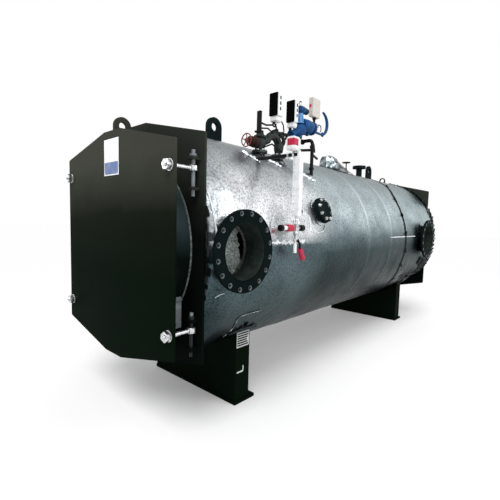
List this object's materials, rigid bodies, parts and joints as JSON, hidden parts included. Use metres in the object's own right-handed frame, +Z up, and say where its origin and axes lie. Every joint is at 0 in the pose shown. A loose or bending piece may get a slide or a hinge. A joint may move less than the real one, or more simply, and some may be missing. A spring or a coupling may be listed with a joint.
{
  "type": "industrial boiler",
  "caption": "Horizontal shell boiler on two saddles, foil-clad insulation, octagonal hinged front door, side gas flanges and top-mounted valves and gauges.",
  "frame": {"origin": "middle of the underside of the front saddle, at floor level", "axes": "+Y along the boiler to its rear, the hinged door faces -Y, +X is the side with the gas flanges, +Z up"},
  "size_m": [1.961, 5.18, 2.833],
  "materials": {
    "black_enamel": "gloss black enamel over steel plate",
    "foil": "crinkled bright aluminium foil over mineral wool",
    "drum_paint": "dark steel-blue paint, satin",
    "raw_steel": "plain boiler plate with mill scale",
    "ceramic_fibre": "white ceramic fibre blanket",
    "refractory": "cast refractory concrete",
    "zinc_steel": "bright zinc plating",
    "cast_grey": "grey-green painted casting",
    "black_pipe": "black painted pipe",
    "white_enamel": "white baked enamel",
    "switch_black": "black moulded housing",
    "valve_blue": "blue enamel on cast iron",
    "wheel_red": "red painted cast wheel",
    "brass": "turned brass",
    "box_beige": "beige moulded box"
  },
  "bodies": {
    "boiler": {"front_chamber": "raw_steel", "boiler_barrel": "raw_steel", "rear_chamber": "raw_steel", "tube_sheets": "raw_steel", "chamber_lining": "ceramic_fibre", "front_plate": "black_enamel", "rear_plate": "black_enamel", "rear_cover": "black_enamel", "jacket_front_length": "foil", "jacket_middle_length": "foil", "jacket_rear_length": "foil", "jacket_tail_length": "foil", "gas_inlet_nozzle": "black_enamel", "gas_outlet_nozzle": "black_enamel", "front_saddle": "black_enamel", "rear_saddle": "black_enamel", "lifting_lugs": "black_enamel", "rear_eye": "black_enamel", "hinge_pins": "black_enamel", "pin_tabs": "black_enamel", "steam_nozzle": "black_enamel", "vent_valve": "black_enamel", "foil_cowl": "foil", "handhole": "black_enamel", "level_gauge": "white_enamel", "gauge_head": "white_enamel", "level_pipes": "black_pipe", "gauge_cock": "black_pipe", "feed_valve": "cast_grey", "trim_header": "black_pipe", "pressure_switches": "switch_black", "switch_siphons": "zinc_steel", "safety_valve": "valve_blue", "safety_lever": "valve_blue", "brass_coupling": "brass", "junction_box": "box_beige"},
    "door": {"door_plate": "black_enamel", "door_drum": "drum_paint", "door_refractory": "refractory", "door_gasket": "ceramic_fibre", "door_lug": "black_enamel", "tie_bolts": "zinc_steel", "clamp_pins": "black_enamel"},
    "vent_wheel": {"vent_handwheel": "black_enamel"},
    "feed_wheel": {"feed_handwheel": "wheel_red"}
  },
  "joints": [
    {"name": "door_hinge", "type": "hinge", "parent": "boiler", "child": "door", "pos_m": [0.724, -0.715, 1.35], "axis": [0, 0, 1], "range_deg": [0, 87]},
    {"name": "vent_wheel_turn", "type": "hinge", "parent": "boiler", "child": "vent_wheel", "pos_m": [0, 2.795, 2.464], "axis": [0, 0, 1], "continuous": true},
    {"name": "feed_wheel_turn", "type": "hinge", "parent": "boiler", "child": "feed_wheel", "pos_m": [0.5, 0.029, 2.229], "axis": [0, -1, 0], "continuous": true}
  ]
}
